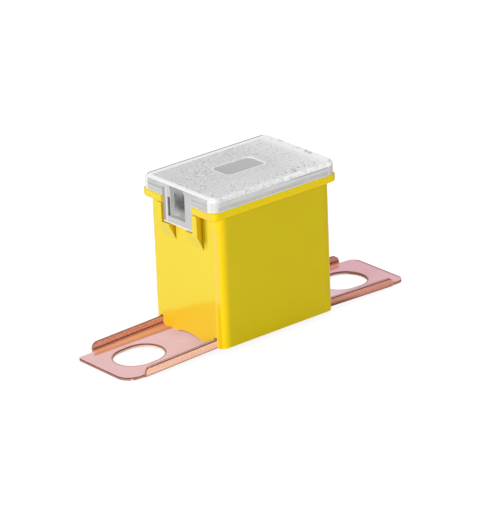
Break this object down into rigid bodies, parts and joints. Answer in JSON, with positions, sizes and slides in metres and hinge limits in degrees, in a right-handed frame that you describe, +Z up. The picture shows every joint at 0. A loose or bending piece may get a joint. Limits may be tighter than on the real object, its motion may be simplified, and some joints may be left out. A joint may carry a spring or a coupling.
{
  "type": "automotive cartridge fuse",
  "caption": "Cartridge fuse with a tall yellow box body, a clear clip-on lid and a flat channel-shaped copper terminal with a slotted bolt hole at each end.",
  "frame": {"origin": "under the middle of the body, on the plane that the tips of the terminals touch", "axes": "+X from terminal to terminal along the bolt slots, +Y across the body, +Z up through the lid"},
  "size_m": [0.0416, 0.0128, 0.019],
  "materials": {
    "yellow_plastic": "glossy moulded resin",
    "clear_plastic": "clear moulding with a frosted top",
    "copper": "rolled copper strip",
    "tin": "dull cast tin"
  },
  "bodies": {
    "root": {"housing": "yellow_plastic", "lid": "clear_plastic", "fuse_element": "copper", "tin_pellet": "tin"}
  },
  "joints": []
}
